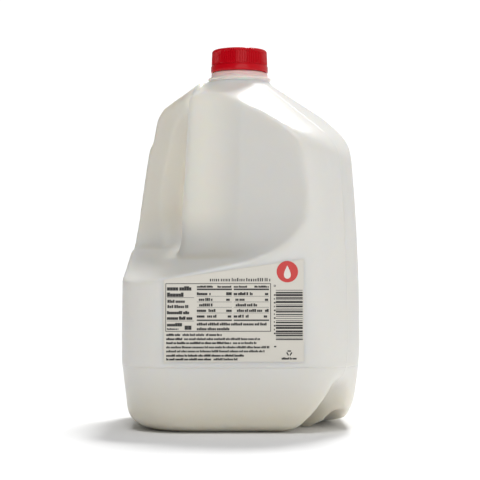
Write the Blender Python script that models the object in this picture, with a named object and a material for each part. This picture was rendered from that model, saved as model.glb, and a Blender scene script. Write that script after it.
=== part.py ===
# One-gallon milk jug of blown plastic, full and shut: the filled bottle, its screw cap and
# the label on one side. Metres, +Z up, origin on the floor under the middle of the bottle.
# The label faces -Y. The handle stands on the corner between the -X and +Y sides, in the
# plane where the two halves of the mould meet, so diagonal directions are used as well:
# u points from the middle to the handle, and v points across it, towards the -X -Y corner.
# The bottle is the same on both sides of the plane v = 0.
import math

import bmesh
import bpy
from mathutils import Vector

# Body, as horizontal rounded squares
belly_half = 0.0801
belly_z = 0.0635
side_bow = 0.347
corner_radius = 0.0340
corner_steps = 8

# Base, which tapers below a fine step and rounds under, more at the corners
base_height = 0.0440
panel_step = 0.0004
side_taper = 0.072
side_round = 0.0184
corner_taper = 0.17
corner_round = 0.0206
round_height = 0.0144

# Shoulder, a cone that blends with the sides
shoulder_z = 0.2387
shoulder_reach = 0.0215
shoulder_slope = 0.668
shoulder_blend = 0.0134
corner_blend = 0.0150

# Heights of the body's rings: the rounded foot, the sides, the bend and the cone
foot_steps = 6
side_levels = (0.0340, 0.0437, 0.0444, 0.064, 0.086, 0.107, 0.129, 0.151, 0.166)
bend_z = 0.1750
bend_pitch = 0.0042
bend_count = 11
cone_levels = (0.2245, 0.2325, 0.2387)

# Neck below and inside the cap, as (height, radius)
neck_profile = (
    (0.2391, 0.0208), (0.2405, 0.0208), (0.2411, 0.0220), (0.2427, 0.0220),
    (0.2435, 0.0199), (0.2464, 0.0197), (0.2466, 0.0179), (0.2595, 0.0179),
)

# Shelf above the belly, a low roof whose ridge runs along v = 0
shelf_ridge_z = 0.1291
shelf_slope = 0.296
shelf_reach = 0.15
shelf_top_z = 0.26

# Upper body above the shelf: a round nose towards the handle, and walls that run to the
# corner away from the handle
nose_reach = 0.0275
nose_half = 0.0353
nose_z = 0.2287
nose_lean = 0.030
nose_side_lean = 0.075
nose_squareness = 3.0
nose_steps = 11
wall_u = -0.0361
wall_v = 0.0357
wall_z = 0.2187
wall_lean = 0.035
wall_end_u = -0.0899
wall_end_v = 0.0225
wall_beyond_u = -0.1341
cove_radius = 0.0350
cove_foot_z = 0.1170
wall_bend_u = -0.01805
cove_at_bend = 0.06
cove_at_wall = 0.15
cove_at_end = 0.8
core_levels = (
    0.085, 0.1170, 0.1185, 0.1205, 0.1235, 0.1275, 0.1330, 0.1410, 0.1520, 0.1960, 0.2680,
)

# Handle, as (outer u, outer z, inner u, inner z, half width, inner half width) along the
# grip, which narrows towards the finger gap
handle_stations = (
    (0.0186, 0.2405, 0.0130, 0.2190, 0.0250, 0.0200),
    (0.0330, 0.2381, 0.0240, 0.2175, 0.0190, 0.0150),
    (0.0474, 0.2344, 0.0325, 0.2155, 0.0148, 0.0106),
    (0.0598, 0.2308, 0.0380, 0.2120, 0.0124, 0.0080),
    (0.0699, 0.2265, 0.0418, 0.2075, 0.0117, 0.0068),
    (0.0757, 0.2202, 0.0445, 0.2025, 0.0117, 0.0063),
    (0.0782, 0.2125, 0.0464, 0.1975, 0.0117, 0.0060),
    (0.0807, 0.2027, 0.0478, 0.1915, 0.0117, 0.0060),
    (0.0848, 0.1975, 0.0490, 0.1860, 0.0117, 0.0060),
    (0.0873, 0.1877, 0.0510, 0.1790, 0.0117, 0.0060),
    (0.0899, 0.1754, 0.0530, 0.1710, 0.0117, 0.0060),
    (0.0921, 0.1650, 0.0538, 0.1630, 0.0117, 0.0060),
    (0.0940, 0.1558, 0.0534, 0.1560, 0.0117, 0.0060),
    (0.0956, 0.1460, 0.0516, 0.1488, 0.0119, 0.0064),
    (0.0970, 0.1362, 0.0480, 0.1427, 0.0129, 0.0074),
    (0.0976, 0.1258, 0.0425, 0.1378, 0.0148, 0.0092),
    (0.0974, 0.1135, 0.0350, 0.1340, 0.0180, 0.0120),
    (0.0928, 0.1011, 0.0270, 0.1240, 0.0220, 0.0160),
)
handle_radius = 0.0066
handle_inner_radius = 0.0042
handle_shoulder = (0.24, 0.97)
handle_crease = (0.42, 0.80)
handle_corner_steps = 3
inner_radius_share = 0.9

# Notch under the corner away from the handle, as (u, half width, height) going inwards,
# and its arch, as (share of the half width, share of the height)
notch_stations = (
    (-0.1240, 0.0370, 0.0470), (-0.0950, 0.0340, 0.0410), (-0.0846, 0.0310, 0.0350),
    (-0.0720, 0.0235, 0.0230), (-0.0464, 0.0125, 0.0104), (-0.0155, 0.0072, 0.0041),
    (0.0309, 0.0052, 0.0021),
)
notch_arch = (
    (1.0, 0.0), (0.80, 0.20), (0.55, 0.46), (0.30, 0.72), (0.12, 0.90), (0.0, 0.95),
)
notch_below = 0.0206

# The foot on the -v side of the notch stands a little off the floor, as (v, z), and the
# share of that at each u
lift_profile = ((-0.0600, 0.0008), (-0.0420, 0.0042), (-0.0300, 0.0082), (-0.0160, 0.0180))
lift_stations = ((-0.1300, 1.0), (-0.0800, 1.0), (-0.0500, 0.75), (-0.0150, 0.20))
lift_lowest_z = -0.0004

# Cap, with its tear band moulded on below a fine ledge
cap_top_z = 0.2629
cap_bottom_z = 0.2469
cap_radius = 0.0197
cap_taper = 0.0003
cap_edge_radius = 0.0021
cap_edge_steps = 3
cap_dish_radius = 0.01182
cap_ledge_z = 0.2514
band_radius = 0.0201
band_groove = 0.0004
band_chamfer = 0.0003
band_round = 0.0005
groove_top = 0.0010
groove_roof = 0.0006
groove_floor = 0.0002
cap_wall = 0.0012
cap_steps = 48
neck_clearance = 0.0004

# Label on the -Y side
label_left = -0.0509
label_right = 0.0406
label_bottom = 0.0474
label_top_left = 0.1012
label_top_right = 0.1147
label_gap = 0.0003
label_thickness = 0.0003
label_rows = 5

diagonal = math.sqrt(0.5)


def world(u, v, z):
    # Turns a place on the diagonals into a place in the part's frame.
    return Vector((-(u + v) * diagonal, (u - v) * diagonal, z))


def material(name, colour, roughness):
    made = bpy.data.materials.new(name)
    made.use_nodes = True
    shader = made.node_tree.nodes["Principled BSDF"]
    shader.inputs["Base Color"].default_value = (*colour, 1.0)
    shader.inputs["Roughness"].default_value = roughness
    shader.inputs["Metallic"].default_value = 0.0
    return made


def add_object(name, bm, finish, smooth_angle=0.6):
    bmesh.ops.recalc_face_normals(bm, faces=bm.faces)
    mesh = bpy.data.meshes.new(name)
    bm.to_mesh(mesh)
    bm.free()
    mesh.shade_smooth()
    mesh.set_sharp_from_angle(angle=smooth_angle)
    mesh.materials.append(finish)
    made = bpy.data.objects.new(name, mesh)
    bpy.context.scene.collection.objects.link(made)
    return made


def add_cutter(name, bm):
    bmesh.ops.triangulate(bm, faces=bm.faces)
    bmesh.ops.recalc_face_normals(bm, faces=bm.faces)
    mesh = bpy.data.meshes.new(name)
    bm.to_mesh(mesh)
    bm.free()
    made = bpy.data.objects.new(name, mesh)
    made.hide_render = True
    made.display_type = "WIRE"
    bpy.context.scene.collection.objects.link(made)
    return made


def add_boolean(target, tool, operation):
    step = target.modifiers.new(f"{operation.title()} {tool.name}", "BOOLEAN")
    step.operation = operation
    step.solver = "EXACT"
    step.object = tool


def loft(rings):
    # Closes a stack of rings, each with the same number of points, into one body.
    bm = bmesh.new()
    loops = [[bm.verts.new(point) for point in ring] for ring in rings]
    for loop in loops:
        for here, there in zip(loop, loop[1:] + loop[:1]):
            bm.edges.new((here, there))
    for lower, upper in zip(loops, loops[1:]):
        count = len(lower)
        for k in range(count):
            bm.faces.new((lower[k], lower[(k + 1) % count], upper[(k + 1) % count], upper[k]))
    bm.faces.new(loops[0])
    bm.faces.new(loops[-1])
    bmesh.ops.triangulate(bm, faces=bm.faces)
    bmesh.ops.recalc_face_normals(bm, faces=bm.faces)
    return bm


def soft_min(a, b, reach):
    overlap = max(reach - abs(a - b), 0.0) / reach
    return min(a, b) - overlap * overlap * reach / 4


def base_inset(z, taper, rounding):
    # How far the foot has drawn in at height z, by a straight taper and a rounded edge.
    if z >= base_height:
        return 0.0
    low = max(round_height - z, 0.0) / round_height
    return panel_step + taper * (base_height - z) + rounding * (1 - math.sqrt(1 - low**2))


def side_half(z):
    # Half the width between two sides, with the bow that the milk's weight gives them.
    return belly_half - side_bow * (z - belly_z) ** 2


def shoulder_radius(z):
    return shoulder_reach + (shoulder_z - z) / shoulder_slope


def body_ring(z, angles):
    side = side_half(z)
    corner = side * math.sqrt(2) - corner_radius * (math.sqrt(2) - 1)
    side -= base_inset(z, side_taper, side_round)
    corner -= base_inset(z, corner_taper, corner_round)
    cone = shoulder_radius(z)
    half = soft_min(side, cone, shoulder_blend)
    reach = max(soft_min(corner, cone, corner_blend), half)
    radius = (half * math.sqrt(2) - reach) / (math.sqrt(2) - 1)
    middle = half - radius
    ring = []
    for angle in angles:
        fold = math.radians(45) - abs(angle % math.radians(90) - math.radians(45))
        along = Vector((math.cos(fold), math.sin(fold)))
        if math.tan(fold) * half <= middle:
            size = half / along.x
        else:
            centre = Vector((middle, middle))
            across = centre.dot(along)
            size = across + math.sqrt(max(radius**2 - centre.length_squared + across**2, 0))
        ring.append(Vector((size * math.cos(angle), size * math.sin(angle), z)))
    return ring


def ring_angles():
    # One quarter holds the middle of a side, a point beside it and the corner's arc.
    middle = belly_half - corner_radius
    arc = [math.radians(90) * k / corner_steps for k in range(corner_steps + 1)]
    corner = [
        math.atan2(middle + corner_radius * math.sin(a), middle + corner_radius * math.cos(a))
        for a in arc
    ]
    quarter = [0.0, corner[0] / 2, *corner, math.radians(90) - corner[0] / 2]
    return [angle + math.radians(90) * turn for turn in range(4) for angle in quarter]


def body_heights():
    turns = [math.radians(90) * k / foot_steps for k in range(foot_steps + 1)]
    foot = [round_height * (1 - math.cos(turn)) for turn in turns]
    bend = [bend_z + bend_pitch * k for k in range(bend_count)]
    return [*foot, *side_levels, *bend, *cone_levels]


def jug_body():
    angles = ring_angles()
    rings = [body_ring(z, angles) for z in body_heights()]
    for z, radius in neck_profile:
        rings.append([Vector((radius * math.cos(a), radius * math.sin(a), z)) for a in angles])
    return loft(rings)


def core_ring(z):
    # Outline of the upper body at height z: the nose, then each wall to the far corner.
    reach = nose_reach + nose_lean * (nose_z - z)
    nose = nose_half + nose_side_lean * (nose_z - z)
    side = wall_v + wall_lean * (wall_z - z)
    rise = min(max(z - cove_foot_z, 0.0), cove_radius)
    cove = cove_radius - math.sqrt(cove_radius**2 - (cove_radius - rise) ** 2)
    power = 2 / nose_squareness
    half = []
    for k in range(nose_steps + 1):
        turn = math.radians(90) * k / nose_steps
        half.append((reach * math.cos(turn) ** power, nose * math.sin(turn) ** power))
    half.append((wall_bend_u, (nose + side) / 2 + cove * cove_at_bend))
    half.append((wall_u, side + cove * cove_at_wall))
    slope = (side - wall_end_v) / (wall_u - wall_end_u)
    half.append((wall_end_u, wall_end_v + cove * cove_at_end))
    half.append((wall_beyond_u, wall_end_v + cove + slope * (wall_beyond_u - wall_end_u)))
    outline = half + [(u, -v) for u, v in reversed(half[1:])]
    return [world(u, v, z) for u, v in outline]


def core_column():
    return add_cutter("core column", loft([core_ring(z) for z in core_levels]))


def space_above_shelf():
    # Everything above the low roof of the shelf, as a block cut to a gable underneath.
    far, eaves_z = shelf_reach, shelf_ridge_z - shelf_slope * shelf_reach
    gable = [
        (far, eaves_z), (0.0, shelf_ridge_z), (-far, eaves_z),
        (-far, shelf_top_z), (far, shelf_top_z),
    ]
    rings = [[world(u, v, z) for v, z in gable] for u in (-far, far)]
    return add_cutter("space above shelf", loft(rings))


def handle_half_section(half_depth, half_width, inner_width):
    # From the outer face round one side to the inner face, as (d, v), d pointing outwards.
    outer, inner = handle_radius, min(handle_inner_radius, inner_width * inner_radius_share)
    points = []
    for k in range(handle_corner_steps + 1):
        turn = math.radians(90 * k / handle_corner_steps)
        points.append((
            half_depth - outer + outer * math.cos(turn), half_width - outer + outer * math.sin(turn),
        ))
    for share, width in (handle_shoulder, handle_crease):
        points.append((-half_depth * share, half_width * width))
    for k in range(handle_corner_steps + 1):
        turn = math.radians(90 + 90 * k / handle_corner_steps)
        points.append((
            -half_depth + inner + inner * math.cos(turn), inner_width - inner + inner * math.sin(turn),
        ))
    return points


def handle_loop():
    rings = []
    for outer_u, outer_z, inner_u, inner_z, half_width, inner_width in handle_stations:
        centre = Vector(((outer_u + inner_u) / 2, (outer_z + inner_z) / 2))
        arm = Vector((outer_u, outer_z)) - centre
        half_depth = arm.length
        arm.normalize()
        side = handle_half_section(half_depth, half_width, inner_width)
        outline = side + [(d, -v) for d, v in reversed(side)]
        rings.append([world(centre.x + arm.x * d, v, centre.y + arm.y * d) for d, v in outline])
    return add_cutter("handle loop", loft(rings))


def notch_cutter():
    rings = []
    arch = [(-v, z) for v, z in notch_arch] + list(reversed(notch_arch[:-1]))
    for u, half_width, height in notch_stations:
        ring = [world(u, v * half_width, z * height) for v, z in arch]
        ring += [world(u, half_width, -notch_below), world(u, -half_width, -notch_below)]
        rings.append(ring)
    return add_cutter("notch", loft(rings))


def lift_cutter():
    rings = []
    for u, share in lift_stations:
        ring = [world(u, v, max(z * share, lift_lowest_z)) for v, z in lift_profile]
        ring += [
            world(u, lift_profile[-1][0], -notch_below * 2),
            world(u, lift_profile[0][0], -notch_below * 2),
        ]
        rings.append(ring)
    return add_cutter("lift", loft(rings))


def build_jug():
    finish = material("filled milk plastic", (0.86, 0.85, 0.81), 0.35)
    jug = add_object("jug", jug_body(), finish)
    space = space_above_shelf()
    add_boolean(space, core_column(), "DIFFERENCE")
    add_boolean(jug, space, "DIFFERENCE")
    add_boolean(jug, handle_loop(), "UNION")
    add_boolean(jug, lift_cutter(), "DIFFERENCE")
    add_boolean(jug, notch_cutter(), "DIFFERENCE")
    return jug


def cap_profile():
    # Half section from the middle of the top, down the outside and back up inside.
    points = [(0.0, cap_top_z), (cap_dish_radius, cap_top_z)]
    for k in range(cap_edge_steps + 1):
        turn = math.radians(90) * k / cap_edge_steps
        points.append((
            cap_radius - cap_taper - cap_edge_radius * (1 - math.sin(turn)),
            cap_top_z - cap_edge_radius * (1 - math.cos(turn)),
        ))
    inner = neck_profile[-1][1] + neck_clearance
    points += [
        (cap_radius, cap_ledge_z + groove_top),
        (cap_radius - band_groove, cap_ledge_z + groove_roof),
        (cap_radius - band_groove, cap_ledge_z + groove_floor),
        (band_radius - band_chamfer, cap_ledge_z),
        (band_radius, cap_ledge_z - band_round),
        (band_radius, cap_bottom_z),
        (inner, cap_bottom_z),
        (inner, cap_top_z - cap_wall),
        (0.0, cap_top_z - cap_wall),
    ]
    return points


def build_cap():
    bm = bmesh.new()
    verts = [bm.verts.new((r, 0.0, z)) for r, z in cap_profile()]
    edges = [bm.edges.new(pair) for pair in zip(verts, verts[1:])]
    bmesh.ops.spin(
        bm, geom=verts + edges, cent=(0, 0, 0), axis=(0, 0, 1), angle=math.radians(360),
        steps=cap_steps, use_merge=True,
    )
    bmesh.ops.remove_doubles(bm, verts=bm.verts, dist=0.00001)
    return add_object("cap", bm, material("cap plastic", (0.60, 0.012, 0.028), 0.30))


def build_label():
    # A thin sheet that follows the bow of the side, with a top edge that climbs to the right.
    bm = bmesh.new()
    columns = (label_left, label_right)
    tops = (label_top_left, label_top_right)
    grid = {}
    for layer, depth in enumerate((label_gap, label_gap + label_thickness)):
        for column, x in enumerate(columns):
            for row in range(label_rows + 1):
                z = label_bottom + (tops[column] - label_bottom) * row / label_rows
                grid[layer, column, row] = bm.verts.new((x, -side_half(z) - depth, z))
    rim = [(0, row) for row in range(label_rows + 1)]
    rim += [(1, row) for row in range(label_rows, -1, -1)]
    for layer in (0, 1):
        for row in range(label_rows):
            bm.faces.new((
                grid[layer, 0, row], grid[layer, 1, row],
                grid[layer, 1, row + 1], grid[layer, 0, row + 1],
            ))
    for (c0, r0), (c1, r1) in zip(rim, rim[1:] + rim[:1]):
        bm.faces.new((grid[0, c0, r0], grid[0, c1, r1], grid[1, c1, r1], grid[1, c0, r0]))
    return add_object("label", bm, material("label film", (0.84, 0.80, 0.70), 0.45), 0.5)


for old in list(bpy.data.objects):
    bpy.data.objects.remove(old, do_unlink=True)

build_jug()
build_cap()
build_label()
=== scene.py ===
import math
import random

import bmesh
import bpy
import numpy as np
from mathutils import Matrix, Vector


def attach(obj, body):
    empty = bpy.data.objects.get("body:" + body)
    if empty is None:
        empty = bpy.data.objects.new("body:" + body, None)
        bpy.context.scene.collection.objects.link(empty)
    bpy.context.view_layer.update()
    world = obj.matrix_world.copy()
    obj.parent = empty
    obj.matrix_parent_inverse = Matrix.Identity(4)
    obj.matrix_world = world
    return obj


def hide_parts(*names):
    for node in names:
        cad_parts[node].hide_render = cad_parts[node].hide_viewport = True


# A full, shut plastic milk jug with a red screw cap and a printed label, in metres, +Z up.
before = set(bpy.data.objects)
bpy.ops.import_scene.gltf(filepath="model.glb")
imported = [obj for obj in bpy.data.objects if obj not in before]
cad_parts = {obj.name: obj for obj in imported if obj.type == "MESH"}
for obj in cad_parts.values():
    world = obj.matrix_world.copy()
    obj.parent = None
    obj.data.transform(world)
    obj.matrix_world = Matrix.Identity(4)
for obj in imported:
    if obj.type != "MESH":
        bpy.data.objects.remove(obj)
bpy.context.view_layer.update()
scene = bpy.context.scene
diagonal = math.sqrt(0.5)
sameSpot = 0.00001

# Each side bows out most at the belly, under the milk's weight.
sideShape = {"half": 0.0801, "bow": 0.347, "bellyZ": 0.0635}


# Helpers

def makeObject(name, bm, material, sharpAngle=0.7):
    mesh = bpy.data.meshes.new(name)
    bm.to_mesh(mesh)
    bm.free()
    mesh.shade_smooth()
    mesh.set_sharp_from_angle(angle=sharpAngle)
    mesh.materials.append(material)
    made = bpy.data.objects.new(name, mesh)
    scene.collection.objects.link(made)
    return made


def spinProfile(points, steps):
    bm = bmesh.new()
    verts = [bm.verts.new((radius, 0.0, z)) for radius, z in points]
    edges = [bm.edges.new(pair) for pair in zip(verts, verts[1:])]
    bmesh.ops.spin(
        bm, geom=verts + edges, cent=(0, 0, 0), axis=(0, 0, 1), angle=math.tau,
        steps=steps, use_merge=True,
    )
    bmesh.ops.remove_doubles(bm, verts=bm.verts, dist=sameSpot)
    bmesh.ops.recalc_face_normals(bm, faces=bm.faces)
    return bm


def sideHalf(z):
    # Distance of a side of the bottle from its axis at height z.
    return sideShape["half"] - sideShape["bow"] * (z - sideShape["bellyZ"]) ** 2


def rise(low, high, value):
    # Goes smoothly from 0 at low to 1 at high.
    share = np.clip((value - low) / (high - low), 0.0, 1.0)
    return share * share * (3 - 2 * share)


def fall(low, high, value):
    return 1 - rise(low, high, value)


# Shader parts

def addNode(tree, kind, **settings):
    node = tree.nodes.new(kind)
    for key, value in settings.items():
        setattr(node, key, value)
    return node


def mathNode(tree, operation, first, second=None, third=None):
    node = addNode(tree, "ShaderNodeMath", operation=operation)
    for socket, value in zip(node.inputs, (first, second, third)):
        if value is None:
            continue
        if isinstance(value, (int, float)):
            socket.default_value = value
        else:
            tree.links.new(value, socket)
    return node.outputs[0]


def rampNode(tree, value, low, high, outLow=0.0, outHigh=1.0):
    node = addNode(tree, "ShaderNodeMapRange", interpolation_type="SMOOTHSTEP")
    tree.links.new(value, node.inputs["Value"])
    node.inputs["From Min"].default_value = low
    node.inputs["From Max"].default_value = high
    node.inputs["To Min"].default_value = outLow
    node.inputs["To Max"].default_value = outHigh
    return node.outputs["Result"]


def mixNode(tree, share, first, second):
    # Mixes two colours, each a fixed one or another node's output. Sockets 6 and 7 take them.
    node = addNode(tree, "ShaderNodeMix", data_type="RGBA")
    tree.links.new(share, node.inputs[0])
    for socket, colour in zip(node.inputs[6:8], (first, second)):
        if isinstance(colour, tuple):
            socket.default_value = (*colour, 1.0)
        else:
            tree.links.new(colour, socket)
    return node.outputs[2]


def placeNodes(tree):
    coordinates = addNode(tree, "ShaderNodeTexCoord")
    parts = addNode(tree, "ShaderNodeSeparateXYZ")
    tree.links.new(coordinates.outputs["Object"], parts.inputs[0])
    return parts.outputs


def newMaterial(name, colour, roughness, **inputs):
    made = bpy.data.materials.new(name)
    made.use_nodes = True
    shader = made.node_tree.nodes["Principled BSDF"]
    shader.inputs["Base Color"].default_value = (*colour, 1.0)
    shader.inputs["Roughness"].default_value = roughness
    for title, value in inputs.items():
        shader.inputs[title.replace("_", " ")].default_value = value
    return made, shader


def bumpInto(tree, shader, height, distance):
    bump = addNode(tree, "ShaderNodeBump")
    bump.inputs["Distance"].default_value = distance
    tree.links.new(height, bump.inputs["Height"])
    tree.links.new(bump.outputs["Normal"], shader.inputs["Normal"])


# Waviness of blown plastic and of film stuck on it: broad, slow waves and a fine grain

wavinessLook = {"Broad": {"scale": 26.0, "detail": 1.0}, "Fine": {"scale": 260.0, "detail": 2.0}}


def buildWaviness():
    group = bpy.data.node_groups.new("blown waviness", "ShaderNodeTree")
    for title in wavinessLook:
        group.interface.new_socket(title, in_out="INPUT", socket_type="NodeSocketFloat")
    group.interface.new_socket("Height", in_out="OUTPUT", socket_type="NodeSocketFloat")
    start = addNode(group, "NodeGroupInput")
    end = addNode(group, "NodeGroupOutput")
    coordinates = addNode(group, "ShaderNodeTexCoord")
    heights = []
    for title, look in wavinessLook.items():
        noise = addNode(group, "ShaderNodeTexNoise")
        noise.inputs["Scale"].default_value = look["scale"]
        noise.inputs["Detail"].default_value = look["detail"]
        group.links.new(coordinates.outputs["Object"], noise.inputs["Vector"])
        heights.append(mathNode(group, "MULTIPLY", noise.outputs[0], start.outputs[title]))
    group.links.new(mathNode(group, "ADD", *heights), end.inputs["Height"])
    return group


waviness = buildWaviness()


def waveHeight(tree, broad, fine):
    wave = addNode(tree, "ShaderNodeGroup", node_tree=waviness)
    wave.inputs["Broad"].default_value = broad
    wave.inputs["Fine"].default_value = fine
    return wave.outputs["Height"]


# Bottle

# The warm colour serves the foot and is painted shade in the hollows and on the grip; the pale colour
# is painted light beside the grip.
jugLook = {
    "colour": (0.760, 0.750, 0.715), "warm": (0.740, 0.690, 0.560), "pale": (0.930, 0.900, 0.815),
    "roughness": 0.36, "ior": 1.50,
    "subsurface": 0.7, "radius": (1.0, 0.82, 0.60), "scale": 0.010,
    "footTop": 0.046, "footWarmth": 0.75,
    "upperZ": (0.125, 0.150), "gripReach": (0.042, 0.060), "gripShadeWarmth": 0.45,
    "paintedLightX": (-0.030, 0.004),
    "broadWave": 0.9, "fineWave": 0.05, "relief": 0.0009,
    "creaseZ": 0.0440, "creaseWidth": 0.0011, "crease": 0.55, "seamWidth": 0.00105, "seam": 0.22,
}


def milkColour(tree, x, y, z):
    # Warmer at the foot. Painted shade, warmer and darker, in the hollows and on the grip, and
    # painted light, paler, on the side of the column beside the grip.
    # Painted shade in the hollows, as deep as the mesh marks them.
    hollowShade = addNode(tree, "ShaderNodeAttribute", attribute_name="hollowShade")
    foot = rampNode(tree, z, 0.0, jugLook["footTop"], 1.0, 0.0)
    warmth = mathNode(tree, "MULTIPLY", foot, jugLook["footWarmth"])
    warmth = mathNode(tree, "MAXIMUM", warmth, hollowShade.outputs["Fac"])
    upper = rampNode(tree, z, *jugLook["upperZ"])
    reach = mathNode(tree, "SUBTRACT", y, x)
    # Painted shade, warmer and darker, on the upper grip and in the gap beside it.
    grip = rampNode(tree, reach, *jugLook["gripReach"], 0.0, jugLook["gripShadeWarmth"])
    warmth = mathNode(tree, "MAXIMUM", warmth, mathNode(tree, "MULTIPLY", upper, grip))
    # Painted light: the column beside the grip is made paler, as if lit, on its upper part and towards
    # negative x only.
    column = rampNode(tree, reach, *jugLook["gripReach"], 1.0, 0.0)
    column = mathNode(tree, "MULTIPLY", upper, column)
    column = mathNode(tree, "MULTIPLY", column, rampNode(tree, x, *jugLook["paintedLightX"], 1.0, 0.0))
    colour = mixNode(tree, warmth, jugLook["colour"], jugLook["warm"])
    return mixNode(tree, column, colour, jugLook["pale"])


def jugRelief(tree, x, y, z):
    # Waves, the fine step round the foot and the seam where the mould's halves meet
    crease = rampNode(
        tree, z, jugLook["creaseZ"] - jugLook["creaseWidth"], jugLook["creaseZ"],
        0.0, jugLook["crease"],
    )
    across = mathNode(tree, "ABSOLUTE", mathNode(tree, "ADD", x, y))
    seam = rampNode(tree, across, 0.0, jugLook["seamWidth"], jugLook["seam"], 0.0)
    wave = waveHeight(tree, jugLook["broadWave"], jugLook["fineWave"])
    return mathNode(tree, "ADD", mathNode(tree, "ADD", wave, crease), seam)


def jugMaterial():
    made, shader = newMaterial(
        "filled milk plastic", jugLook["colour"], jugLook["roughness"], IOR=jugLook["ior"],
        Subsurface_Weight=jugLook["subsurface"], Subsurface_Scale=jugLook["scale"],
        Subsurface_Radius=jugLook["radius"],
    )
    tree = made.node_tree
    x, y, z = placeNodes(tree)
    tree.links.new(milkColour(tree, x, y, z), shader.inputs["Base Color"])
    bumpInto(tree, shader, jugRelief(tree, x, y, z), jugLook["relief"])
    return made


jugShape = {
    "merge": 0.00002, "voxel": 0.0015, "step": 0.5, "rounds": 18,
    "handleU": (0.041, 0.049), "handleZ": (0.130, 0.150), "handleShare": 0.55,
    "softRounds": 70, "rootRounds": 200, "rootRise": 0.0006, "widest": 0.08009, "trimZ": 0.2402,
    "hollowRounds": 160, "hollowDepth": (0.0004, 0.0045), "hollowShare": 0.8, "sharpAngle": 1.2,
}

# Places that are softened more: u points towards the handle and v across it.
softPlaces = {
    "rootZ": (0.196, 0.208), "rootStart": (0.000, 0.012), "rootEnd": (0.034, 0.046),
    "rootSide": (0.022, 0.034),
    "columnFootLow": (0.116, 0.124), "columnFootHigh": (0.136, 0.150),
    "columnFootStart": (-0.020, 0.000), "columnFootRadius": (0.050, 0.062),
    "notchSideZ": (0.034, 0.046), "notchSideV": (0.002, 0.010),
    "notchTopLow": (0.024, 0.034), "notchTopHigh": (0.048, 0.058), "notchU": (0.062, 0.074),
}


def diagonals(points):
    u = (points[:, 1] - points[:, 0]) * diagonal
    v = -(points[:, 0] + points[:, 1]) * diagonal
    return u, v


def edgePairs(mesh):
    pairs = np.empty(len(mesh.edges) * 2, dtype=np.int32)
    mesh.edges.foreach_get("vertices", pairs)
    return pairs.reshape(-1, 2)


def relax(points, pairs, weights, rounds):
    # Moves each point towards the mean of its neighbours, again and again.
    count = len(points)
    first, second = pairs[:, 0], pairs[:, 1]
    degree = np.bincount(first, minlength=count) + np.bincount(second, minlength=count)
    points = points.copy()
    for _ in range(rounds):
        mean = np.empty_like(points)
        for k in range(points.shape[1]):
            mean[:, k] = np.bincount(first, points[second, k], count)
            mean[:, k] += np.bincount(second, points[first, k], count)
        mean /= degree[:, None]
        points += (mean - points) * weights[:, None]
    return points


def heightAlong(mesh, points, others):
    # Puts the points into the mesh, and says how far the others stand out from them.
    mesh.vertices.foreach_set("co", points.ravel())
    mesh.update()
    normals = np.empty(len(points) * 3)
    mesh.vertices.foreach_get("normal", normals)
    return ((others - points) * normals.reshape(-1, 3)).sum(axis=1)


def softened(mesh, points, pairs):
    # Fills three places more deeply: the handle's root, the foot of the column and the far
    # side and top of the notch. The root is only filled, never worn down.
    place = softPlaces
    u, v = diagonals(points)
    z = points[:, 2]
    even = np.full(len(points), jugShape["step"])
    root = rise(*place["rootZ"], z) * rise(*place["rootStart"], u)
    root *= fall(*place["rootEnd"], u) * fall(*place["rootSide"], np.abs(v))
    foot = rise(*place["columnFootLow"], z) * fall(*place["columnFootHigh"], z)
    foot *= rise(*place["columnFootStart"], u)
    foot *= fall(*place["columnFootRadius"], np.hypot(points[:, 0], points[:, 1]))
    notchSide = fall(*place["notchSideZ"], z) * rise(*place["notchSideV"], -v)
    notchTop = rise(*place["notchTopLow"], z) * fall(*place["notchTopHigh"], z)
    notch = np.maximum(notchSide, notchTop) * rise(*place["notchU"], -u)
    soft = relax(points, pairs, even, jugShape["softRounds"])
    points = points + (soft - points) * np.maximum(foot, notch)[:, None]
    soft = relax(points, pairs, even, jugShape["rootRounds"])
    root *= rise(0.0, jugShape["rootRise"], heightAlong(mesh, points, soft))
    return points + (soft - points) * root[:, None]


def evenMesh():
    # The CAD bottle remeshed into small, even faces.
    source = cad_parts["jug"]
    bm = bmesh.new()
    bm.from_mesh(source.data)
    bm.transform(source.matrix_world)
    bmesh.ops.remove_doubles(bm, verts=bm.verts, dist=jugShape["merge"])
    rough = bpy.data.meshes.new("jug rough")
    bm.to_mesh(rough)
    bm.free()
    carrier = bpy.data.objects.new("jug rough", rough)
    scene.collection.objects.link(carrier)
    step = carrier.modifiers.new("Remesh", "REMESH")
    step.mode = "VOXEL"
    step.voxel_size = jugShape["voxel"]
    graph = bpy.context.evaluated_depsgraph_get()
    mesh = bpy.data.meshes.new_from_object(carrier.evaluated_get(graph))
    bpy.data.objects.remove(carrier, do_unlink=True)
    return mesh


def roundedPoints(mesh, pairs):
    # Sharp cuts become the fillets of blown plastic, least on the slim grip. What the first
    # pass shrinks is given back.
    points = np.empty(len(mesh.vertices) * 3)
    mesh.vertices.foreach_get("co", points)
    points = points.reshape(-1, 3)
    grip = rise(*jugShape["handleU"], diagonals(points)[0]) * rise(*jugShape["handleZ"], points[:, 2])
    weights = jugShape["step"] * (1 - (1 - jugShape["handleShare"]) * grip)
    once = relax(points, pairs, weights, jugShape["rounds"])
    points = once + relax(points - once, pairs, weights, jugShape["rounds"])
    points = softened(mesh, points, pairs)
    points[:, :2] = np.clip(points[:, :2], -jugShape["widest"], jugShape["widest"])
    points[:, 2] = np.maximum(points[:, 2], 0.0)
    return points


def markHollows(mesh, points, pairs):
    # Hollows are where the surface lies below its own surroundings; the deeper they are, the more
    # painted shade, warmer and darker, they are given.
    even = np.full(len(points), jugShape["step"])
    wide = relax(points, pairs, even, jugShape["hollowRounds"])
    depth = heightAlong(mesh, points, wide)
    hollowShade = rise(*jugShape["hollowDepth"], depth) * jugShape["hollowShare"]
    layer = mesh.attributes.new("hollowShade", "FLOAT", "POINT")
    layer.data.foreach_set("value", hollowShade.astype(np.float32))


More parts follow.
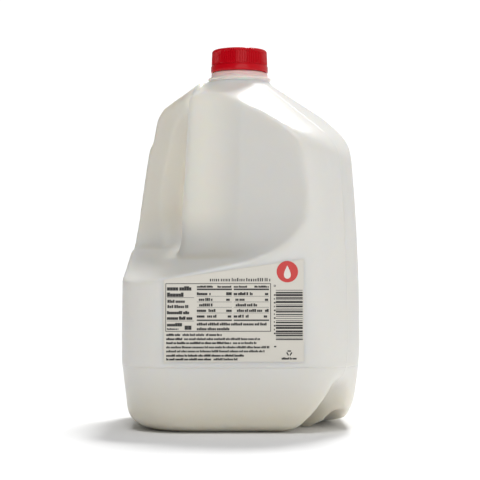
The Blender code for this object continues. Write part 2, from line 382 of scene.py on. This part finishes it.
def buildJug():
    mesh = evenMesh()
    pairs = edgePairs(mesh)
    markHollows(mesh, roundedPoints(mesh, pairs), pairs)
    bm = bmesh.new()
    bm.from_mesh(mesh)
    bpy.data.meshes.remove(mesh)
    spare = [vert for vert in bm.verts if vert.co.z > jugShape["trimZ"]]
    bmesh.ops.delete(bm, geom=spare, context="VERTS")
    rim = [edge for edge in bm.edges if edge.is_boundary]
    bmesh.ops.holes_fill(bm, edges=rim, sides=0)
    made = makeObject("jugBottle", bm, jugMaterial(), jugShape["sharpAngle"])
    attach(made, "root")
    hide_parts("jug")
    print("jug bottle:", len(made.data.polygons), "faces")


buildJug()


# Neck, with its collar, as (radius, height) from the bottom up and back down inside

neckShape = {
    "profile": (
        (0.0170, 0.2372), (0.0205, 0.2378), (0.0212, 0.2386), (0.02085, 0.2392), (0.02075, 0.2402),
        (0.02105, 0.2408), (0.0216, 0.2411), (0.02195, 0.24135), (0.0220, 0.2419),
        (0.02195, 0.2424), (0.0216, 0.2427), (0.0207, 0.2430), (0.02005, 0.2435),
        (0.01985, 0.2442), (0.01975, 0.2455), (0.01970, 0.2461), (0.0194, 0.24635),
        (0.0179, 0.2465), (0.0179, 0.2590), (0.0176, 0.2594), (0.0160, 0.2594),
        (0.0160, 0.2372), (0.0170, 0.2372),
    ),
    "steps": 96, "sharpAngle": 0.9,
}
neckLook = {
    "colour": (0.860, 0.815, 0.770), "glow": (0.850, 0.520, 0.480), "glowZ": (0.2400, 0.2468),
    "roughness": 0.30, "subsurface": 0.5, "scale": 0.004,
}


def neckMaterial():
    # The red of the cap shines into the top of the pale plastic.
    made, shader = newMaterial(
        "neck plastic", neckLook["colour"], neckLook["roughness"],
        Subsurface_Weight=neckLook["subsurface"], Subsurface_Scale=neckLook["scale"],
    )
    tree = made.node_tree
    glow = rampNode(tree, placeNodes(tree)[2], *neckLook["glowZ"])
    colour = mixNode(tree, glow, neckLook["colour"], neckLook["glow"])
    tree.links.new(colour, shader.inputs["Base Color"])
    return made


def buildNeck():
    bm = spinProfile(neckShape["profile"], neckShape["steps"])
    made = makeObject("jugNeck", bm, neckMaterial(), neckShape["sharpAngle"])
    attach(made, "root")
    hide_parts("jug")
    print("neck:", len(made.data.polygons), "faces")


buildNeck()


# Cap

capShape = {
    "top": 0.2629, "bottom": 0.2469, "radius": 0.0197, "taper": 0.0003, "edge": 0.0020,
    "ledge": 0.2514, "band": 0.0201, "inner": 0.0184, "roof": 0.0020, "sharpAngle": 0.6,
    "dish": ((0.35, 0.0006), (0.70, 0.00055)),  # share of the radius, depth
    "dishWall": ((0.0014, 0.0005), (0.0009, 0.0001)),  # inwards from the edge, depth
    "edgeTurns": ((25, 0.0), (50, 0.0), (70, 0.35), (90, 0.35)),  # degrees, ribs' share
    "grooveTop": 0.0006, "grooveRoof": 0.0004, "grooveFloor": 0.0001, "groove": 0.0003,
    "bandTop": ((0.0004, 0.0), (0.0001, 0.0002), (0.0, 0.0006)),  # inwards, down
    "bandFoot": ((0.0, 0.0006), (0.0001, 0.0002), (0.0005, 0.0)),  # inwards, up
}
ribShape = {
    "count": 76, "depth": 0.00070, "low": 0.2522, "high": 0.2602, "run": 0.0005, "footShare": 0.3,
    "columns": ((0.10, 0.0), (0.30, 1.0), (0.62, 1.0), (0.82, 0.0)),  # share of a rib, crest
}
capLook = {
    "colour": (0.55, 0.003, 0.010), "roughness": 0.20, "ior": 1.31,
    "subsurface": 0.05, "scale": 0.0010, "radius": (1.0, 0.1, 0.08),
}


def capMaterial():
    return newMaterial(
        "cap plastic", capLook["colour"], capLook["roughness"], IOR=capLook["ior"],
        Subsurface_Weight=capLook["subsurface"], Subsurface_Scale=capLook["scale"],
        Subsurface_Radius=capLook["radius"],
    )[0]


def capLevels():
    # From the middle of the top, down the outside and up inside, as (radius, z, ribs' share).
    top, bottom, ledge = capShape["top"], capShape["bottom"], capShape["ledge"]
    radius, band, edge = capShape["radius"], capShape["band"], capShape["edge"]
    rim, groove = radius - capShape["taper"], radius - capShape["groove"]
    levels = [(radius * share, top - depth, 0.0) for share, depth in capShape["dish"]]
    levels += [(radius - edge - inwards, top - depth, 0.0) for inwards, depth in capShape["dishWall"]]
    levels.append((rim - edge, top, 0.0))
    for turn, ribbed in capShape["edgeTurns"]:
        angle = math.radians(turn)
        levels.append((
            rim - edge * (1 - math.sin(angle)), top - edge * (1 - math.cos(angle)), ribbed,
        ))
    levels += [
        (rim, ribShape["high"], 1.0),
        (radius, ribShape["low"] + ribShape["run"], 1.0),
        (radius, ribShape["low"], ribShape["footShare"]),
        (radius, ledge + capShape["grooveTop"], 0.0),
        (groove, ledge + capShape["grooveRoof"], 0.0),
        (groove, ledge + capShape["grooveFloor"], 0.0),
    ]
    levels += [(band - inwards, ledge - down, 0.0) for inwards, down in capShape["bandTop"]]
    levels += [(band - inwards, bottom + up, 0.0) for inwards, up in capShape["bandFoot"]]
    levels += [(capShape["inner"], bottom, 0.0), (capShape["inner"], top - capShape["roof"], 0.0)]
    return levels


def capColumns():
    # Around the cap: each rib takes four columns, of which two stand on its crest.
    rib = math.tau / ribShape["count"]
    for k in range(ribShape["count"]):
        for share, crest in ribShape["columns"]:
            yield (k + share) * rib, crest


def angleOf(vert):
    return math.atan2(vert.co.y, vert.co.x) % math.tau


def placeRing(ring, columns, size, z, ribbed):
    # Puts a ring's points on the columns, one after another round the cap.
    for vert, (angle, crest) in zip(sorted(ring, key=angleOf), columns):
        reach = size - ribShape["depth"] * ribbed * (1 - crest)
        vert.co = (reach * math.cos(angle), reach * math.sin(angle), z)


def buildCap():
    bm = bmesh.new()
    columns = list(capColumns())
    middle, *others = capLevels()
    bmesh.ops.create_circle(bm, cap_ends=True, segments=len(columns), radius=capShape["radius"])
    placeRing(bm.verts, columns, *middle)
    edges = bm.edges[:]
    for level in others:
        grown = bmesh.ops.extrude_edge_only(bm, edges=edges)["geom"]
        edges = [part for part in grown if isinstance(part, bmesh.types.BMEdge)]
        ring = [part for part in grown if isinstance(part, bmesh.types.BMVert)]
        placeRing(ring, columns, *level)
    bmesh.ops.holes_fill(bm, edges=edges, sides=0)
    bmesh.ops.recalc_face_normals(bm, faces=bm.faces)
    made = makeObject("screwCap", bm, capMaterial(), capShape["sharpAngle"])
    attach(made, "root")
    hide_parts("cap")
    print("cap:", len(made.data.polygons), "faces")


buildCap()


# Label film

labelShape = {
    "left": -0.0507, "right": 0.0404, "bottom": 0.0476, "topLeft": 0.1009, "topRight": 0.1144,
    "inside": 0.0002, "outside": 0.00045, "columns": 30, "rows": 20, "sharpAngle": 0.9,
}
labelLook = {"film": (0.705, 0.675, 0.605), "roughness": 0.42, "broadWave": 0.8, "relief": 0.0009}


def labelTop(x):
    share = (x - labelShape["left"]) / (labelShape["right"] - labelShape["left"])
    return labelShape["topLeft"] + (labelShape["topRight"] - labelShape["topLeft"]) * share


def onSide(x, z, depth):
    # A place on the bowed side, raised by the depth.
    return x, -sideHalf(z) - depth, z


def labelMaterial():
    made, shader = newMaterial("label film", labelLook["film"], labelLook["roughness"])
    tree = made.node_tree
    bumpInto(tree, shader, waveHeight(tree, labelLook["broadWave"], 0.0), labelLook["relief"])
    return made


def buildLabel():
    # A grid from 0 to 1 each way is laid on the bowed side, then thickened outwards.
    bm = bmesh.new()
    bmesh.ops.create_grid(
        bm, x_segments=labelShape["columns"], y_segments=labelShape["rows"], size=0.5,
        matrix=Matrix.Translation((0.5, 0.5, 0)),
    )
    for vert in bm.verts:
        x = labelShape["left"] + (labelShape["right"] - labelShape["left"]) * vert.co.x
        z = labelShape["bottom"] + (labelTop(x) - labelShape["bottom"]) * vert.co.y
        vert.co = onSide(x, z, labelShape["inside"])
    grown = bmesh.ops.extrude_face_region(bm, geom=bm.faces[:])["geom"]
    outer = [part for part in grown if isinstance(part, bmesh.types.BMVert)]
    thick = labelShape["outside"] - labelShape["inside"]
    bmesh.ops.translate(bm, verts=outer, vec=(0, -thick, 0))
    bmesh.ops.recalc_face_normals(bm, faces=bm.faces)
    made = makeObject("labelFilm", bm, labelMaterial(), labelShape["sharpAngle"])
    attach(made, "root")
    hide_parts("label")
    print("label:", len(made.data.polygons), "faces")


buildLabel()


# Print on the label, all in plain dark bars, in millimetres until buildInk places them

printShape = {
    "offSide": 0.00053,  # metres
    "barLength": 5, "seed": 7, "letters": (2, 8), "pitch": (0.50, 0.72),
    "heights": (0.76, 0.76, 1.0), "wordGap": 0.24, "lineEnd": 0.4,
    "bold": 0.97, "plain": 0.88, "light": 0.55,
    "frame": (-49.7, 19.0, 67.2, 98.6), "frameThick": 0.42,
}
printLook = {"ink": (0.030, 0.028, 0.026), "roughness": 0.5}
draw = random.Random(printShape["seed"])
bold, plain, light = printShape["bold"], printShape["plain"], printShape["light"]
inkQuads = []


def addBar(x0, x1, z0, z1):
    # A tall bar is cut into short lengths that follow the bowed side.
    pieces = max(1, math.ceil((z1 - z0) / printShape["barLength"]))
    for k in range(pieces):
        low, high = z0 + (z1 - z0) * k / pieces, z0 + (z1 - z0) * (k + 1) / pieces
        inkQuads.append(((x0, low), (x1, low), (x1, high), (x0, high)))


def addWords(x0, x1, z, height, weight):
    # A line of plain upright blocks in word-like groups. The weight is the blocks' share of
    # the line's length.
    x = x0
    while x < x1 - height * printShape["lineEnd"]:
        for _ in range(draw.randint(*printShape["letters"])):
            pitch = height * draw.uniform(*printShape["pitch"])
            if x + pitch > x1:
                break
            addBar(x, x + pitch * weight, z, z + height * draw.choice(printShape["heights"]))
            x += pitch
        x += height * printShape["wordGap"]


def addFrame(x0, x1, z0, z1, thick):
    addBar(x0, x1, z0, z0 + thick)
    addBar(x0, x1, z1 - thick, z1)
    addBar(x0, x0 + thick, z0 + thick, z1 - thick)
    addBar(x1 - thick, x1, z0 + thick, z1 - thick)


# Lines of print as (left, right, foot, height, weight)
tableLines = (
    (-48.7, -31.1, 93.9, 2.8, bold), (-48.7, -37.5, 89.8, 2.8, bold),
    (-48.4, -35.9, 85.9, 2.0, plain), (-48.4, -34.3, 82.5, 2.0, plain),
    (-48.7, -33.8, 78.5, 2.1, bold), (-48.7, -31.1, 74.9, 2.2, bold),
    (-48.7, -38.8, 70.6, 2.2, bold), (-48.7, -40.8, 68.4, 1.1, bold),
    (-37.2, -31.1, 68.4, 3.5, bold),
    (-29.3, -18.4, 95.8, 1.3, bold), (-15.9, -6.4, 95.8, 1.3, bold),
    (-5.3, 4.4, 95.8, 1.3, bold), (8.2, 17.8, 95.8, 1.3, bold),
    (-29.3, -21.8, 90.9, 1.9, bold), (-21.2, -18.9, 90.9, 1.9, plain), (-10.2, -6.4, 90.9, 1.9, bold),
    (-28.0, -18.9, 87.2, 1.9, plain), (-10.2, -6.4, 87.2, 1.9, bold),
    (-27.8, -17.8, 83.6, 1.9, plain),
    (-29.3, -22.3, 80.0, 1.9, bold), (-21.7, -16.5, 80.0, 1.9, plain), (-10.2, -6.4, 80.0, 1.9, bold),
    (-29.3, -23.2, 76.3, 1.9, bold), (-22.6, -16.3, 76.3, 1.9, plain), (-9.2, -6.4, 76.3, 1.9, bold),
    (-5.3, 4.6, 90.9, 1.9, bold), (5.2, 8.0, 90.9, 1.9, plain), (15.1, 17.8, 90.9, 1.9, bold),
    (-4.2, 3.0, 87.2, 1.9, plain), (15.1, 17.8, 87.2, 1.9, bold),
    (-4.0, 10.2, 83.6, 1.9, plain),
    (-3.2, 14.3, 80.0, 1.9, plain), (15.1, 17.8, 80.0, 1.9, bold),
    (-5.3, 1.9, 76.3, 1.9, bold), (2.5, 4.6, 76.3, 1.9, plain), (14.3, 17.8, 76.3, 1.9, bold),
    (-29.3, 17.6, 71.2, 1.8, plain), (-29.3, -6.7, 68.1, 1.8, plain),
)
smallLines = (
    (-20.8, 19.4, 99.9, 2.2, light),
    (-49.2, -39.2, 64.4, 1.5, bold), (-38.6, -24.0, 64.4, 1.5, plain), (-23.4, -12.7, 64.4, 1.5, bold),
    (-49.2, -38.2, 61.7, 1.5, bold), (-37.6, 12.2, 61.7, 1.5, plain),
    (-49.2, -6.4, 59.1, 1.5, bold), (-5.8, 9.8, 59.1, 1.5, plain),
    (-49.2, 18.4, 56.3, 1.5, plain), (-49.2, 15.1, 53.7, 1.5, plain),
    (-49.2, 1.9, 50.9, 1.5, bold),
    (-49.2, -19.0, 48.5, 1.5, bold), (-18.4, -1.9, 48.5, 1.5, plain),
    (25.9, 36.3, 49.0, 1.4, bold), (21.0, 23.2, 57.0, 1.2, bold),
)

# Rules of the table as (left, right, middle, thickness)
tableRules = [(-48.7, -31.1, 89.3, 0.25), (-48.7, -31.1, 74.1, 0.25)]
for ruleLeft, ruleRight in ((-29.3, -6.4), (-5.3, 17.8)):
    tableRules += [(ruleLeft, ruleRight, 94.7, 1.0), (ruleLeft, ruleRight, 74.6, 0.9)]
    tableRules += [(ruleLeft, ruleRight, ruleZ, 0.20) for ruleZ in (90.2, 86.5, 83.0, 79.3)]

# Stack of level stripes of uneven height at the right, with small dashes and a square
stripeShape = {
    "left": 22.2, "right": 39.7, "top": 94.3, "bottom": 61.6,
    "thick": (0.35, 0.35, 0.7, 1.0, 1.35), "gaps": (0.4, 0.4, 0.7, 0.95),
    "dashes": 11, "dashLeft": 20.9, "dashRight": 22.0, "dashShort": 0.5,
    "dashZ": 90.5, "dashTall": 1.0, "dashPitch": 2.5,
    "square": (20.9, 22.1, 96.4, 97.6), "squareThick": 0.3,
}


def stripes():
    z = stripeShape["top"]
    while z > stripeShape["bottom"]:
        thick = draw.choice(stripeShape["thick"])
        addBar(stripeShape["left"], stripeShape["right"], z - thick, z)
        z -= thick + draw.choice(stripeShape["gaps"])
    for k in range(stripeShape["dashes"]):
        foot = stripeShape["dashZ"] - stripeShape["dashPitch"] * k
        right = stripeShape["dashRight"] - stripeShape["dashShort"] * (k % 2)
        addBar(stripeShape["dashLeft"], right, foot, foot + stripeShape["dashTall"])
    addFrame(*stripeShape["square"], stripeShape["squareThick"])


# Small triangle of three plain bars
markShape = {"middle": (30.9, 53.3), "reach": 1.25, "halfLength": 1.15, "halfThick": 0.42}


def smallMark():
    for turn in (90, 210, 330):
        angle = math.radians(turn)
        along = Vector((math.sin(angle), -math.cos(angle)))
        across = Vector((math.cos(angle), math.sin(angle)))
        middle = Vector(markShape["middle"]) + across * markShape["reach"]
        along *= markShape["halfLength"]
        across *= markShape["halfThick"]
        corners = ((-1, -1), (1, -1), (1, 1), (-1, 1))
        inkQuads.append(tuple(tuple(middle + along * a + across * b) for a, b in corners))


def buildInk():
    addFrame(*printShape["frame"], printShape["frameThick"])
    for line in tableLines + smallLines:
        addWords(*line)
    for left, right, z, thick in tableRules:
        addBar(left, right, z - thick / 2, z + thick / 2)
    stripes()
    smallMark()
    bm = bmesh.new()
    for corners in inkQuads:
        places = [onSide(x / 1000, z / 1000, printShape["offSide"]) for x, z in corners]
        bm.faces.new([bm.verts.new(place) for place in places])
    material, _ = newMaterial("label ink", printLook["ink"], printLook["roughness"])
    made = makeObject("labelInk", bm, material)
    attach(made, "root")
    print("ink bars:", len(inkQuads))


buildInk()


# Red disc with a plain white drop

discShape = {
    "x": 0.02972, "z": 0.10622, "radius": 0.0070, "steps": 48, "depth": 0.00052,
    "dropHalfWidth": 0.0031, "dropHalfHeight": 0.0044, "dropDown": 0.0002, "dropPoint": 1.4,
    "dropSteps": 40, "dropDepth": 0.00055,
}
discLook = {"red": (0.62, 0.045, 0.040), "white": (0.80, 0.76, 0.70), "roughness": 0.45}


def flatShape(name, outline, depth, material):
    bm = bmesh.new()
    bm.faces.new([bm.verts.new(onSide(x, z, depth)) for x, z in outline])
    bmesh.ops.triangulate(bm, faces=bm.faces)
    made = makeObject(name, bm, material)
    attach(made, "root")


def discOutline():
    angles = [math.tau * k / discShape["steps"] for k in range(discShape["steps"])]
    return [
        (
            discShape["x"] + discShape["radius"] * math.cos(angle),
            discShape["z"] + discShape["radius"] * math.sin(angle),
        )
        for angle in angles
    ]


def dropOutline():
    # Round below and drawn out to a point above. The list runs the way that makes the face
    # look outwards.
    points = []
    for k in range(discShape["dropSteps"]):
        angle = math.tau * k / discShape["dropSteps"]
        swell = math.sin(angle) * math.sin(angle / 2) ** discShape["dropPoint"]
        points.append((
            discShape["x"] + discShape["dropHalfWidth"] * swell,
            discShape["z"] + discShape["dropHalfHeight"] * math.cos(angle) - discShape["dropDown"],
        ))
    return points[::-1]


discRed, _ = newMaterial("label red", discLook["red"], discLook["roughness"])
discWhite, _ = newMaterial("label white", discLook["white"], discLook["roughness"])
flatShape("labelDisc", discOutline(), discShape["depth"], discRed)
flatShape("labelDrop", dropOutline(), discShape["dropDepth"], discWhite)
print("disc and drop made")


# Floor

floorShape = {"size": 60.0, "below": 0.0001, "colour": (0.93, 0.93, 0.93), "roughness": 0.9}


def buildFloor():
    bm = bmesh.new()
    bmesh.ops.create_grid(bm, x_segments=1, y_segments=1, size=floorShape["size"])
    material, shader = newMaterial("pale floor", floorShape["colour"], floorShape["roughness"])
    shader.inputs["Specular IOR Level"].default_value = 0.0
    made = makeObject("floor", bm, material)
    made.location = (0, 0, -floorShape["below"])


buildFloor()


# Light: three wide, far-off panels, each as (direction it stands in, degrees wide, strength),
# and a sky that is weaker on the left and in front, and plain white where the camera sees it

panels = {
    "key light": ((0.17, 0.46, 0.87), 14.0, 2.2),
    "front light": ((-0.10, -0.46, 0.86), 20.0, 0.98),
    "low fill": ((0.15, -0.98, 0.02), 50.0, 1.0),
}
studio = {"base": 0.27, "rightShare": 0.27, "backShare": 0.20, "seen": 1.1}


def addPanel(name, direction, spread, strength):
    data = bpy.data.lights.new(name, "SUN")
    data.angle = math.radians(spread)
    data.energy = strength
    lamp = bpy.data.objects.new(name, data)
    scene.collection.objects.link(lamp)
    lamp.rotation_euler = (-Vector(direction)).to_track_quat("-Z", "Y").to_euler()


def buildStudio():
    world = bpy.data.worlds.new("studio")
    scene.world = world
    world.use_nodes = True
    sky = world.node_tree
    background = sky.nodes["Background"]
    background.inputs["Color"].default_value = (1.0, 1.0, 1.0, 1.0)
    rays = addNode(sky, "ShaderNodeLightPath")
    around = addNode(sky, "ShaderNodeTexCoord")
    parts = addNode(sky, "ShaderNodeSeparateXYZ")
    sky.links.new(around.outputs["Generated"], parts.inputs[0])
    x, y, _ = parts.outputs
    ambient = mathNode(sky, "MULTIPLY_ADD", x, studio["rightShare"], studio["base"])
    ambient = mathNode(sky, "MULTIPLY_ADD", y, studio["backShare"], ambient)
    seen = mathNode(sky, "MULTIPLY", rays.outputs["Is Camera Ray"], studio["seen"])
    sky.links.new(mathNode(sky, "MAXIMUM", ambient, seen), background.inputs["Strength"])


for panelName, panelShape in panels.items():
    addPanel(panelName, *panelShape)
buildStudio()
scene.view_settings.view_transform = "Standard"


# Camera

cameraView = {
    "azimuth": -1.1, "distance": 1.0583, "height": 0.1021, "target": (0.0004, 0.0, 0.1289),
    "sensor": 36.0, "lens": 112.5, "nearest": 0.01,
}


def addCamera():
    lens = bpy.data.cameras.new("camera")
    lens.sensor_width = cameraView["sensor"]
    lens.lens = cameraView["lens"]
    lens.clip_start = cameraView["nearest"]
    camera = bpy.data.objects.new("camera", lens)
    scene.collection.objects.link(camera)
    turn, distance = math.radians(cameraView["azimuth"]), cameraView["distance"]
    camera.location = (distance * math.sin(turn), -distance * math.cos(turn), cameraView["height"])
    aim = Vector(cameraView["target"]) - camera.location
    camera.rotation_euler = aim.to_track_quat("-Z", "Y").to_euler()
    scene.camera = camera


addCamera()
print("floor, light and camera made")
